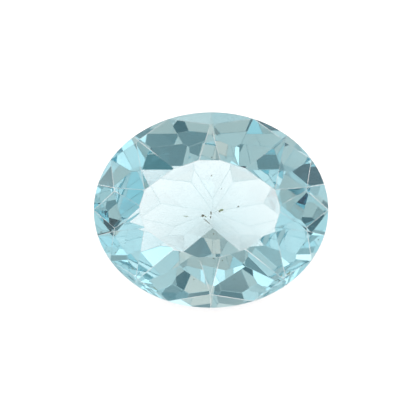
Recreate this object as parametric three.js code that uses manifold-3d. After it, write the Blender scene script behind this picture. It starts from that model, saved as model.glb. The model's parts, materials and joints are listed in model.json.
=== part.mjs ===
// A loose blue topaz in an oval brilliant cut, lying on one facet of its lower half.
// Millimetres, +Z up. The stone is cut upright, with its table on top, and then laid down.

import * as THREE from 'three';
import { mergeVertices } from 'three/addons/utils/BufferGeometryUtils.js';
import Module from 'manifold-3d';

const wasm = await Module();
wasm.setup();

// Outline of the stone, which is the ellipse of its girdle.
const stoneLength = 12;
const stoneWidth = 10;
const outlineSides = 100; // a multiple of 20, so that facets meet the outline in its corners
const girdleThickness = 0.3;

// Crown, the upper half: a table with stars, mains and girdle facets around it.
// What differs round the outline is given for its long sides, its shoulders and its ends.
const crownHeight = 1.3;
const tableReach = { side: 2.46, shoulder: 2.72, end: 3.44 }; // from the middle to a table edge
const mainReach = { side: 0.92, shoulder: 1, end: 0.985 }; // inner end, as a share of the way to the table's corner
const starReach = { side: 0.865, shoulder: 0.94, end: 0.85 }; // outer tip, as a share of the way to the outline

// Pavilion, the lower half: three tiers of facets from the culet up to the girdle.
// The stone lies on its resting half, which was cut a little flatter at the ends than the far half.
// Each slope is the rise over the run at the middle of a long side, and it eases towards the ends.
const pavilionDepth = 4;
const endMainSlope = 0.635; // the two mains on the ends belong to both halves
const culetMainSlopes = {
  far: { side: 0.6, shoulder: 0.67, end: endMainSlope },
  resting: { side: 0.605, shoulder: 0.575, end: endMainSlope },
};
const breakFacetSlopes = {
  far: { side: 0.67, shoulder: 0.825, end: 0.87 },
  resting: { side: 0.78, shoulder: 0.75, end: 0.71 },
};
// A break facet's inner and outer tip, as shares of the way to the outline.
const breakStarts = {
  far: { side: 0.13, shoulder: 0.415, end: 0.48 },
  resting: { side: 0.17, shoulder: 0.37, end: 0.465 },
};
const breakEnds = {
  far: { side: 0.62, shoulder: 0.76, end: 0.81 },
  resting: { side: 0.69, shoulder: 0.84, end: 0.8 },
};
const culetWidth = 0.12; // flat across the blunted tip

// The cut has ten facets round each full tier, and twenty in the tiers next to the girdle.
const facetsRound = 10;
const step = 360 / facetsRound;
const farAzimuth = 90; // outward direction of the long side that points up, in degrees from +X
const restingAzimuth = -90; // the break facet that the stone lies on
const weldDistance = 0.001; // corners closer than this are one corner

const girdleTop = girdleThickness / 2;
const girdleBottom = -girdleThickness / 2;
const tableLevel = girdleTop + crownHeight;
const culetLevel = girdleBottom - pavilionDepth;
const culetFlatLevel = culetLevel + (endMainSlope * culetWidth) / 2;

const cosDegrees = (angle) => Math.cos(THREE.MathUtils.degToRad(angle));
const sinDegrees = (angle) => Math.sin(THREE.MathUtils.degToRad(angle));

// Part of the outline that an azimuth faces. Shoulders lie between 27 and 63 degrees off the ends.
function place(azimuth) {
  const offEnd = THREE.MathUtils.radToDeg(Math.acos(Math.abs(cosDegrees(azimuth))));
  if (offEnd > 63) {
    return 'side';
  }
  return offEnd > 27 ? 'shoulder' : 'end';
}

// The measure for the half and the part of the outline that an azimuth faces.
function measureAt(measures, azimuth) {
  const half = sinDegrees(azimuth) > 0 ? 'far' : 'resting';
  return measures[half][place(azimuth)];
}

// Distance from the middle to the tangent of the outline that faces the given azimuth.
function rimDistance(azimuth) {
  return Math.hypot((stoneLength / 2) * cosDegrees(azimuth), (stoneWidth / 2) * sinDegrees(azimuth));
}

// Point where the outline faces the given azimuth, or the same point drawn in by a share.
function rimPoint(azimuth, level, share = 1) {
  const distance = rimDistance(azimuth);
  const x = ((stoneLength / 2) ** 2 * cosDegrees(azimuth)) / distance;
  const y = ((stoneWidth / 2) ** 2 * sinDegrees(azimuth)) / distance;
  return new THREE.Vector3(x * share, y * share, level);
}

const alongAzimuth = (azimuth, distance, level) =>
  new THREE.Vector3(distance * cosDegrees(azimuth), distance * sinDegrees(azimuth), level);

// A facet's plane from its azimuth, its slope (rise over run) and one point on it.
function facetPlane(azimuth, slope, point, side) {
  const normal = alongAzimuth(azimuth, slope, side).normalize();
  return new THREE.Plane().setFromNormalAndCoplanarPoint(normal, point);
}

const crownPlane = (azimuth, slope, point) => facetPlane(azimuth, slope, point, 1);
const pavilionPlane = (azimuth, slope, point) => facetPlane(azimuth, slope, point, -1);

// Height of a plane over a point of the plan.
function levelOn(plane, point) {
  const { x, y, z } = plane.normal;
  return -(plane.constant + x * point.x + y * point.y) / z;
}

// A plane through three points, turned so that the middle of the stone is behind it.
function outwardPlane(first, second, third) {
  const plane = new THREE.Plane().setFromCoplanarPoints(first, second, third);
  return plane.constant > 0 ? plane.negate() : plane;
}

// Crown mains run from the girdle's top edge to the corners of the table.
function crownMain(azimuth) {
  const toEdges = tableReach[place(azimuth - step / 2)] + tableReach[place(azimuth + step / 2)];
  const toCorner = toEdges / 2 / cosDegrees(step / 2);
  const inner = mainReach[place(azimuth)] * toCorner;
  const slope = crownHeight / (rimDistance(azimuth) - inner);
  return crownPlane(azimuth, slope, alongAzimuth(azimuth, inner, tableLevel));
}

// Outer tip of a star, which lies on the crease between two mains.
function starTip(azimuth) {
  const tip = rimPoint(azimuth, 0, starReach[place(azimuth)]);
  tip.z = Math.min(
    levelOn(crownMain(azimuth - step / 2), tip),
    levelOn(crownMain(azimuth + step / 2), tip),
  );
  return tip;
}

// A star rises from its tip to one edge of the table.
function crownStar(azimuth) {
  const tip = starTip(azimuth);
  const edge = tableReach[place(azimuth)];
  const reach = tip.x * cosDegrees(azimuth) + tip.y * sinDegrees(azimuth);
  return crownPlane(azimuth, (tableLevel - tip.z) / (reach - edge), tip);
}

// An upper girdle facet joins a star's tip to the outline, between a star and the next main.
function upperGirdleFacet(starAzimuth, mainAzimuth) {
  return outwardPlane(
    starTip(starAzimuth),
    rimPoint(starAzimuth, girdleTop),
    rimPoint(mainAzimuth, girdleTop),
  );
}

// Rise over run of a pavilion facet, eased with the distance to the outline.
function slopeAt(slopes, azimuth) {
  return (measureAt(slopes, azimuth) * (stoneWidth / 2)) / rimDistance(azimuth);
}

// Culet mains all pass through the culet.
function culetMain(azimuth) {
  const slope = slopeAt(culetMainSlopes, azimuth);
  return pavilionPlane(azimuth, slope, new THREE.Vector3(0, 0, culetLevel));
}

// A break facet starts in a point on the crease between two culet mains and is steeper than they are.
function breakFacet(azimuth) {
  const tip = rimPoint(azimuth, 0, measureAt(breakStarts, azimuth));
  tip.z = Math.max(
    levelOn(culetMain(azimuth - step / 2), tip),
    levelOn(culetMain(azimuth + step / 2), tip),
  );
  return pavilionPlane(azimuth, slopeAt(breakFacetSlopes, azimuth), tip);
}

// A lower girdle facet joins a break facet's outer tip to the outline, up to the next main.
function lowerGirdleFacet(breakAzimuth, mainAzimuth) {
  const tip = rimPoint(breakAzimuth, 0, measureAt(breakEnds, breakAzimuth));
  tip.z = levelOn(breakFacet(breakAzimuth), tip);
  return outwardPlane(
    tip,
    rimPoint(breakAzimuth, girdleBottom),
    rimPoint(mainAzimuth, girdleBottom),
  );
}

function toSolid(geometry) {
  geometry.deleteAttribute('normal');
  geometry.deleteAttribute('uv');
  const merged = mergeVertices(geometry);
  return new wasm.Manifold(
    new wasm.Mesh({
      numProp: 3,
      vertProperties: new Float32Array(merged.attributes.position.array),
      triVerts: new Uint32Array(merged.index.array),
    }),
  );
}

// Several facets meet in one corner, so corners that rounding has split are made one again.
function weld(mesh) {
  const corners = [];
  const cornerOf = [];
  for (let i = 0; i < mesh.vertProperties.length; i += mesh.numProp) {
    const point = new THREE.Vector3().fromArray(mesh.vertProperties, i);
    const known = corners.findIndex((corner) => corner.distanceTo(point) < weldDistance);
    cornerOf.push(known < 0 ? corners.push(point) - 1 : known);
  }
  const index = [];
  for (let i = 0; i < mesh.triVerts.length; i += 3) {
    const [a, b, c] = [0, 1, 2].map((k) => cornerOf[mesh.triVerts[i + k]]);
    if (a !== b && b !== c && c !== a) {
      index.push(a, b, c);
    }
  }
  return { corners, index };
}

function toGeometry(solid) {
  const { corners, index } = weld(solid.getMesh());
  const geometry = new THREE.BufferGeometry().setFromPoints(corners);
  geometry.setIndex(index);
  geometry.computeVertexNormals();
  return geometry;
}

// The uncut blank, an oval prism from the culet's level to the table's.
function blank() {
  const outline = [];
  for (let i = 0; i < outlineSides; i += 1) {
    const { x, y } = rimPoint((360 * i) / outlineSides, 0);
    outline.push(new THREE.Vector2(x, y));
  }
  const prism = new THREE.ExtrudeGeometry(new THREE.Shape(outline), {
    depth: tableLevel - culetFlatLevel,
    bevelEnabled: false,
  });
  return toSolid(prism.translate(0, 0, culetFlatLevel));
}

// Grinding a facet takes away a block whose flat underside lies in the facet's plane.
function grind(stone, plane) {
  const blockSize = 3 * stoneLength;
  const up = new THREE.Vector3(0, 0, 1);
  const block = new THREE.BoxGeometry(blockSize, blockSize, blockSize)
    .translate(0, 0, blockSize / 2)
    .applyQuaternion(new THREE.Quaternion().setFromUnitVectors(up, plane.normal))
    .translate(...plane.coplanarPoint(new THREE.Vector3()).toArray());
  return stone.subtract(toSolid(block));
}

function cutStone() {
  const planes = [];
  for (let i = 0; i < facetsRound; i += 1) {
    const onMain = i * step;
    const onStar = farAzimuth + i * step;
    planes.push(crownMain(onMain));
    planes.push(crownStar(onStar));
    planes.push(upperGirdleFacet(onStar, onStar - step / 2));
    planes.push(upperGirdleFacet(onStar, onStar + step / 2));
    planes.push(culetMain(onMain));
    planes.push(breakFacet(onStar));
    planes.push(lowerGirdleFacet(onStar, onStar - step / 2));
    planes.push(lowerGirdleFacet(onStar, onStar + step / 2));
  }
  return planes.reduce(grind, blank());
}

const topaz = new THREE.MeshStandardMaterial({ color: 0x9fd3e0, roughness: 0.03, metalness: 0 });

const stone = new THREE.Mesh(toGeometry(cutStone()), topaz);
stone.name = 'stone';

// Lay the stone on its resting facet, with that facet at z = 0 and the origin under its middle.
const part = new THREE.Group();
part.add(stone);
part.rotation.x = Math.atan(slopeAt(breakFacetSlopes, restingAzimuth));
part.updateMatrixWorld(true);
const lying = new THREE.Box3().setFromObject(part, true);
const middle = lying.getCenter(new THREE.Vector3());
part.position.set(-middle.x, -middle.y, -lying.min.z);

export default part;
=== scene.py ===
import json
import math

import bmesh
import bpy
import numpy as np
from mathutils import Matrix, Vector


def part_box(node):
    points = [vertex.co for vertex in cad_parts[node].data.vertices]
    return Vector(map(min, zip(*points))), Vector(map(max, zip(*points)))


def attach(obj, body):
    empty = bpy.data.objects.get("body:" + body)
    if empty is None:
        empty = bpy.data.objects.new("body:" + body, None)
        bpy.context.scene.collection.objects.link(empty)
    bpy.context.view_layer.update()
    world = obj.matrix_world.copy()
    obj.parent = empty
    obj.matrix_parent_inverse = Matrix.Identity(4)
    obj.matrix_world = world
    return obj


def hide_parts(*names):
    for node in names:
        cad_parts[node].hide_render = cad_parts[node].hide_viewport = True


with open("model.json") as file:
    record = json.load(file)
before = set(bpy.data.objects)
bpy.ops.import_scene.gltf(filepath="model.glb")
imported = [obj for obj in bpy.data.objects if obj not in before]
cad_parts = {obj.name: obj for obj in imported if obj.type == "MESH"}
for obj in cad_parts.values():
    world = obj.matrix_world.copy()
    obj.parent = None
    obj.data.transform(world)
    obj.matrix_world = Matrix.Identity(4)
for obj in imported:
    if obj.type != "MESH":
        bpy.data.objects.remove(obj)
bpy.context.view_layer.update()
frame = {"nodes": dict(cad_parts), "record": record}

mm = 0.001
white = (1.0, 1.0, 1.0, 1.0)


# A shader number as a plain expression: each operator adds a Math node
class Value:
    def __init__(self, shader, socket):
        self.shader = shader
        self.socket = socket

    def math(self, operation, first, second, clamp=False):
        settings = {"operation": operation, "use_clamp": clamp}
        return self.shader.add("ShaderNodeMath", settings, {0: first, 1: second})

    def __sub__(self, other):
        return self.math("SUBTRACT", self, other)

    def __rsub__(self, other):
        return self.math("SUBTRACT", other, self)

    def __mul__(self, other):
        return self.math("MULTIPLY", self, other)

    def __truediv__(self, other):
        return self.math("DIVIDE", self, other)

    def __rtruediv__(self, other):
        return self.math("DIVIDE", other, self)

    __rmul__ = __mul__

    def clamped(self):
        return self.math("ADD", self, 0.0, clamp=True)


# A node tree. Settings are set first, then the values or links of the sockets, by name or number
class Shader:
    def __init__(self, tree):
        self.tree = tree
        tree.nodes.clear()

    def add(self, kind, settings, inputs, output=0):
        node = self.tree.nodes.new(kind)
        for name, setting in settings.items():
            if name == "stops":
                for stop, (place, colour) in zip(node.color_ramp.elements, setting):
                    stop.position, stop.color = place, colour
            else:
                setattr(node, name, setting)
        for name, item in inputs.items():
            if isinstance(item, Value):
                self.tree.links.new(item.socket, node.inputs[name])
            else:
                node.inputs[name].default_value = item
        return Value(self, node.outputs[output]) if node.outputs else None


# How far a place or a direction reaches along a way
def along(shader, place, way):
    return shader.add("ShaderNodeVectorMath", {"operation": "DOT_PRODUCT"}, {0: place, 1: way}, "Value")


def newMaterial(name):
    material = bpy.data.materials.new(name)
    material.use_nodes = True
    return material, Shader(material.node_tree)


def newPiece(name, mesh):
    piece = bpy.data.objects.new(name, mesh)
    bpy.context.scene.collection.objects.link(piece)
    return piece


# Where the table looks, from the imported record
tableMount = next(mount for mount in frame["record"]["mounts"] if mount["name"] == "table")
tableCentre = Vector(tableMount["pos_m"])
tableNormal = Vector(tableMount["axis"]).normalized()
stoneRight = Vector((1.0, 0.0, 0.0))
stoneUp = tableNormal.cross(stoneRight)
girdleBelowTable = 1.45 * mm         # from the table down to the middle of the girdle
girdleHeight = tableCentre.dot(tableNormal) - girdleBelowTable  # along the table's direction

stoneLook = {
    "ior": 1.62,
    "absorbColour": (0.60, 0.83, 0.87, 1.0),
    "absorbDensity": 200.0,          # per metre
    "roughness": {"facets": 0.0, "edges": 0.22, "girdle": 0.35},
    # The white of the crown's edges: partly chalky wear, partly a painted glint of light along the facet edges
    "chalkAndGlintColour": (0.93, 0.97, 0.98, 1.0),
    "chalkAndGlintRoughness": 0.7,
    "wearAndGlintGrain": 700.0,              # per metre
    "wearAndGlintStart": 0.35,               # level of the grain where the chalk and painted glint begin
    "wearAndGlintContrast": 3.0,
    "wearAndGlintRise": 0.1 * mm,            # height above the girdle over which the chalk and painted glint come in
    "edgeWidth": 0.028 * mm,         # the worn width of a facet's edge, which above the girdle also carries painted glints
    "edgeAngle": 4.0,                # degrees; flatter creases stay sharp
    "mergeDistance": 0.002 * mm,
    "flatAngle": 0.6,                # degrees between triangles of one facet
    "girdleLean": 0.05,              # a face of the girdle looks less than this along the table's direction
}


def topazMaterial(finish):
    material, shader = newMaterial("topaz_" + finish)
    surface = shader.add("ShaderNodeBsdfPrincipled", {}, {
        "Base Color": white,
        "Roughness": stoneLook["roughness"][finish],
        "IOR": stoneLook["ior"],
        "Transmission Weight": 1.0,
    })
    if finish == "edges":
        # Above the girdle the edges are painted white where the grain is high: partly chalky wear, partly
        # painted glints that stand in for light caught along the facet edges
        place = shader.add("ShaderNodeTexCoord", {}, {}, "Object")
        aboveGirdle = ((along(shader, place, tableNormal) - girdleHeight) / stoneLook["wearAndGlintRise"]).clamped()
        grain = shader.add("ShaderNodeTexNoise", {}, {"Vector": place, "Scale": stoneLook["wearAndGlintGrain"]})
        wornAndGlinting = ((grain - stoneLook["wearAndGlintStart"]) * stoneLook["wearAndGlintContrast"]).clamped()
        chalkAndGlint = shader.add("ShaderNodeBsdfPrincipled", {}, {
            "Base Color": stoneLook["chalkAndGlintColour"],
            "Roughness": stoneLook["chalkAndGlintRoughness"],
        })
        # Mixing in the white paints glints along the crown's facet edges as well as chalky wear
        surface = shader.add("ShaderNodeMixShader", {}, {0: wornAndGlinting * aboveGirdle, 1: surface, 2: chalkAndGlint})
    inside = shader.add("ShaderNodeVolumeAbsorption", {}, {
        "Color": stoneLook["absorbColour"],
        "Density": stoneLook["absorbDensity"],
    })
    shader.add("ShaderNodeOutputMaterial", {}, {"Surface": surface, "Volume": inside})
    return material


# The imported stone with its triangles joined into whole facets and its edges lightly worn, the bevels carrying
# chalky wear and painted glints above the girdle
def makeStone():
    finishes = list(stoneLook["roughness"])
    mesh = bpy.data.meshes.new("cut_stone")
    work = bmesh.new()
    work.from_mesh(frame["nodes"]["stone"].data)
    bmesh.ops.remove_doubles(work, verts=work.verts, dist=stoneLook["mergeDistance"])
    bmesh.ops.dissolve_limit(
        work,
        angle_limit=math.radians(stoneLook["flatAngle"]),
        verts=work.verts,
        edges=work.edges,
    )
    for face in work.faces:
        onGirdle = abs(face.normal.dot(tableNormal)) < stoneLook["girdleLean"]
        face.smooth = False
        face.material_index = finishes.index("girdle" if onGirdle else "facets")
    work.to_mesh(mesh)
    print("facets", len(work.faces), "corners", len(work.verts))
    work.free()
    stone = newPiece("cut_stone", mesh)
    for finish in finishes:
        mesh.materials.append(topazMaterial(finish))
    edges = stone.modifiers.new("worn edges", "BEVEL")
    edges.width = stoneLook["edgeWidth"]
    edges.segments = 1
    edges.limit_method = "ANGLE"
    edges.angle_limit = math.radians(stoneLook["edgeAngle"])
    edges.material = finishes.index("edges")
    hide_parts("stone")
    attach(stone, "root")


makeStone()
print("stone done")

# Specks shut in near the culet. A place is in mm from the middle of the table: to the right, up in the
# picture, and down into the stone. A turn is in degrees about the table's direction.
specks = {
    "tints": {
        "brown": ((0.20, 0.12, 0.06, 1.0), (0.42, 0.29, 0.15, 1.0)),
        "ochre": ((0.75, 0.58, 0.26, 1.0), (0.95, 0.84, 0.52, 1.0)),
    },
    "tintLevels": (0.35, 0.65),      # levels of the grain where a speck has its first and second colour
    "grain": 9000.0,                 # per metre
    "roughness": 0.6,
    "rings": 10,
    "spokes": 16,
    "broadLumps": 0.22,              # share of the radius
    "smallLumps": 0.15,
    "mergeDistance": 0.0005 * mm,
    "flakes": [
        {"place": (-0.50, -0.22, 5.00), "size": (0.075, 0.060, 0.04), "turn": 20, "tint": "brown"},
        {"place": (-0.36, -0.26, 5.05), "size": (0.030, 0.045, 0.03), "turn": 60, "tint": "ochre"},
        {"place": (-0.08, -0.08, 5.15), "size": (0.030, 0.085, 0.03), "turn": 5, "tint": "brown"},
        {"place": (-0.10, -0.29, 5.15), "size": (0.028, 0.060, 0.03), "turn": -10, "tint": "brown"},
        {"place": (-0.28, -0.52, 5.00), "size": (0.018, 0.190, 0.02), "turn": 48, "tint": "brown"},
        {"place": (0.45, 0.06, 5.05), "size": (0.110, 0.055, 0.03), "turn": 15, "tint": "ochre"},
        {"place": (0.36, -0.01, 5.10), "size": (0.050, 0.025, 0.03), "turn": 10, "tint": "brown"},
        {"place": (-1.36, -0.26, 4.55), "size": (0.120, 0.018, 0.02), "turn": -8, "tint": "ochre"},
        {"place": (1.34, 0.23, 4.50), "size": (0.035, 0.035, 0.03), "turn": 0, "tint": "brown"},
        {"place": (-0.03, 1.81, 4.20), "size": (0.030, 0.030, 0.03), "turn": 0, "tint": "brown"},
        {"place": (0.47, 1.15, 4.60), "size": (0.032, 0.024, 0.03), "turn": 40, "tint": "brown"},
    ],
}


def flakeGrid(flake):
    # A sphere on a grid of two angles, its radius rippled by slow sines of both so that it is a lump,
    # stretched to its three sizes, turned about the table's direction and put in its place.
    down = np.linspace(0, math.pi, specks["rings"])[:, None]
    around = np.linspace(0, 2 * math.pi, specks["spokes"], endpoint=False)[None, :]
    broad = specks["broadLumps"] * np.sin(3 * around + 5 * down + flake["turn"])
    small = specks["smallLumps"] * np.sin(5 * around - 4 * down)
    radius = (1 + (broad + small) * np.sin(down)) * np.sin(down)
    wide, tall, deep = flake["size"]
    x = wide * radius * np.cos(around)
    y = tall * radius * np.sin(around)
    z = deep * np.cos(down) + 0 * around
    turn = math.radians(flake["turn"])
    right, up, below = flake["place"]
    grid = np.stack([
        right + x * math.cos(turn) - y * math.sin(turn),
        up + x * math.sin(turn) + y * math.cos(turn),
        z - below,
    ], -1)
    axes = np.array([stoneRight, stoneUp, tableNormal])
    return grid.reshape(-1, 3) * mm @ axes + np.array(tableCentre)


def gridFaces(rows, columns):
    # Each face joins a point of the grid with the next one down and the next one round
    row, column = np.meshgrid(np.arange(rows - 1), np.arange(columns), indexing="ij")
    beside = (column + 1) % columns
    corners = [(row, column), (row + 1, column), (row + 1, beside), (row, beside)]
    return np.stack([down * columns + across for down, across in corners], -1).reshape(-1, 4)


def speckMaterial(tint):
    material, shader = newMaterial("speck_" + tint)
    place = shader.add("ShaderNodeTexCoord", {}, {}, "Object")
    grain = shader.add("ShaderNodeTexNoise", {}, {"Vector": place, "Scale": specks["grain"]})
    stops = list(zip(specks["tintLevels"], specks["tints"][tint]))
    colour = shader.add("ShaderNodeValToRGB", {"stops": stops}, {"Fac": grain})
    surface = shader.add("ShaderNodeBsdfPrincipled", {}, {
        "Base Color": colour,
        "Roughness": specks["roughness"],
    })
    shader.add("ShaderNodeOutputMaterial", {}, {"Surface": surface})
    return material


def makeSpecks():
    tints = list(specks["tints"])
    flakes = specks["flakes"]
    faces = gridFaces(specks["rings"], specks["spokes"])
    perFlake = specks["rings"] * specks["spokes"]
    points = np.concatenate([flakeGrid(flake) for flake in flakes])
    quads = np.concatenate([faces + i * perFlake for i in range(len(flakes))])
    slots = np.repeat([tints.index(flake["tint"]) for flake in flakes], len(faces))
    mesh = bpy.data.meshes.new("specks")
    mesh.from_pydata(points.tolist(), [], quads.tolist())
    for tint in tints:
        mesh.materials.append(speckMaterial(tint))
    mesh.polygons.foreach_set("material_index", slots.astype(np.int32))
    work = bmesh.new()
    work.from_mesh(mesh)
    bmesh.ops.remove_doubles(work, verts=work.verts, dist=specks["mergeDistance"])
    bmesh.ops.recalc_face_normals(work, faces=work.faces)
    work.to_mesh(mesh)
    work.free()
    piece = newPiece("specks", mesh)
    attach(piece, "root")


makeSpecks()
print("specks done")

floorLook = {
    "size": 1.2,
    "level": -0.03 * mm,             # just clear of the facet that the stone lies on
    "colour": (0.94, 0.84, 0.83, 1.0),
    "roughness": 0.8,
    "glow": 0.52,                    # its own light keeps it white behind the stone
}


def makeFloor():
    half = floorLook["size"] / 2
    level = floorLook["level"]
    corners = [(-half, -half, level), (half, -half, level), (half, half, level), (-half, half, level)]
    mesh = bpy.data.meshes.new("floor")
    mesh.from_pydata(corners, [], [(0, 1, 2, 3)])
    material, shader = newMaterial("pale_floor")
    surface = shader.add("ShaderNodeBsdfPrincipled", {}, {
        "Base Color": floorLook["colour"],
        "Roughness": floorLook["roughness"],
        "Emission Color": white,
        "Emission Strength": floorLook["glow"],
    })
    shader.add("ShaderNodeOutputMaterial", {}, {"Surface": surface})
    mesh.materials.append(material)
    newPiece("floor", mesh)


makeFloor()
print("floor done")

# The studio is a tent, cool white at the horizon and dimmer and warmer overhead. Round soft boxes, cards
# and dark gaps in its cloth stand in even rings, each laid over those before it. Angles are in degrees:
# the first one's azimuth from +X towards +Y, the elevation, and the size as a radius and a soft rim.
studio = {
    "horizon": (1.10, 1.20, 1.22),
    "zenith": (0.82, 0.68, 0.62),
    "rings": {
        "sky card": {"count": 1, "first": 190, "elevation": 65, "size": (15, 3), "colour": (0.7, 0.95, 1.0)},
        "gaps": {"count": 10, "first": 10, "elevation": 45, "size": (7, 1), "colour": (0.25, 0.35, 0.37)},
        "boxes": {"count": 10, "first": 28, "elevation": 30, "size": (6, 1), "colour": (1.8, 1.8, 1.8)},
        "key box": {"count": 1, "first": 35, "elevation": 40, "size": (25, 3), "colour": (1.6, 1.6, 1.6)},
        "high gaps": {"count": 14, "first": 15, "elevation": 58, "size": (5, 1), "colour": (0.04, 0.15, 0.18)},
        "low gaps": {"count": 10, "first": 5, "elevation": 22, "size": (6, 1), "colour": (0.6, 0.65, 0.65)},
        "black card": {"count": 1, "first": 320, "elevation": 62, "size": (5, 1), "colour": (0.02, 0.05, 0.06)},
        "warm card": {"count": 1, "first": 270, "elevation": 55, "size": (12, 2), "colour": (1.2, 0.9, 0.8)},
    },
}


def direction(azimuth, elevation):
    turn, rise = math.radians(azimuth), math.radians(elevation)
    return (math.cos(rise) * math.cos(turn), math.cos(rise) * math.sin(turn), math.sin(rise))


def makeStudio():
    world = bpy.data.worlds.new("studio")
    bpy.context.scene.world = world
    world.use_nodes = True
    shader = Shader(world.node_tree)
    view = shader.add("ShaderNodeTexCoord", {}, {}, "Generated")

    def blend(share, first, second):
        inputs = {0: share, 6: first, 7: second}
        return shader.add("ShaderNodeMix", {"data_type": "RGBA"}, inputs, 2)

    height = along(shader, view, (0.0, 0.0, 1.0)).clamped()
    colour = blend(height, studio["horizon"] + (1.0,), studio["zenith"] + (1.0,))
    for ring in studio["rings"].values():
        radius, rim = ring["size"]
        outer = math.cos(math.radians(radius + rim))
        inner = math.cos(math.radians(radius - rim))
        for i in range(ring["count"]):
            middle = direction(ring["first"] + i * 360 / ring["count"], ring["elevation"])
            share = ((along(shader, view, middle) - outer) / (inner - outer)).clamped()
            colour = blend(share, colour, ring["colour"] + (1.0,))
    light = shader.add("ShaderNodeBackground", {}, {"Color": colour})
    shader.add("ShaderNodeOutputWorld", {}, {"Surface": light})


makeStudio()

cameraLook = {
    "lens": 300.0,
    "imageWidth": 420,               # pixels
    "stoneWidth": 235,               # pixels between the stone's two ends
    "stoneMiddle": (211.0, 210.0),   # pixels from the picture's left and top
    "lean": (2.7, -2.5),             # degrees off the table's direction: to the right, and up
    "clip": (0.1, 100.0),            # nearest and farthest things seen, in camera distances
}


def makeCamera():
    data = bpy.data.cameras.new("camera")
    camera = newPiece("camera", data)
    data.lens = cameraLook["lens"]
    lowest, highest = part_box("stone")
    pixel = (highest.x - lowest.x) / cameraLook["stoneWidth"]
    distance = pixel * cameraLook["imageWidth"] * data.lens / data.sensor_width
    aside, above = (math.sin(math.radians(angle)) for angle in cameraLook["lean"])
    back = stoneRight * aside + stoneUp * above
    back += tableNormal * math.sqrt(1 - back.length_squared)
    right = stoneUp.cross(back).normalized()
    up = back.cross(right)
    middle = cameraLook["imageWidth"] / 2
    across, down = cameraLook["stoneMiddle"]
    shift = right * (middle - across) + up * (down - middle)
    girdleCentre = tableCentre - tableNormal * girdleBelowTable
    camera.location = girdleCentre + back * distance + shift * pixel
    camera.rotation_euler = Matrix((right, up, back)).transposed().to_euler()
    data.clip_start, data.clip_end = (distance * reach for reach in cameraLook["clip"])
    bpy.context.scene.camera = camera


makeCamera()

lightBounces = 32
scene = bpy.context.scene
scene.view_settings.view_transform = "Standard"
scene.view_settings.look = "None"
scene.cycles.denoising_input_passes = "RGB"  # the stone's inner edges make the other passes noisy
scene.cycles.max_bounces = lightBounces
scene.cycles.glossy_bounces = lightBounces
scene.cycles.transmission_bounces = lightBounces
print("studio and camera done")

bpy.context.view_layer.update()
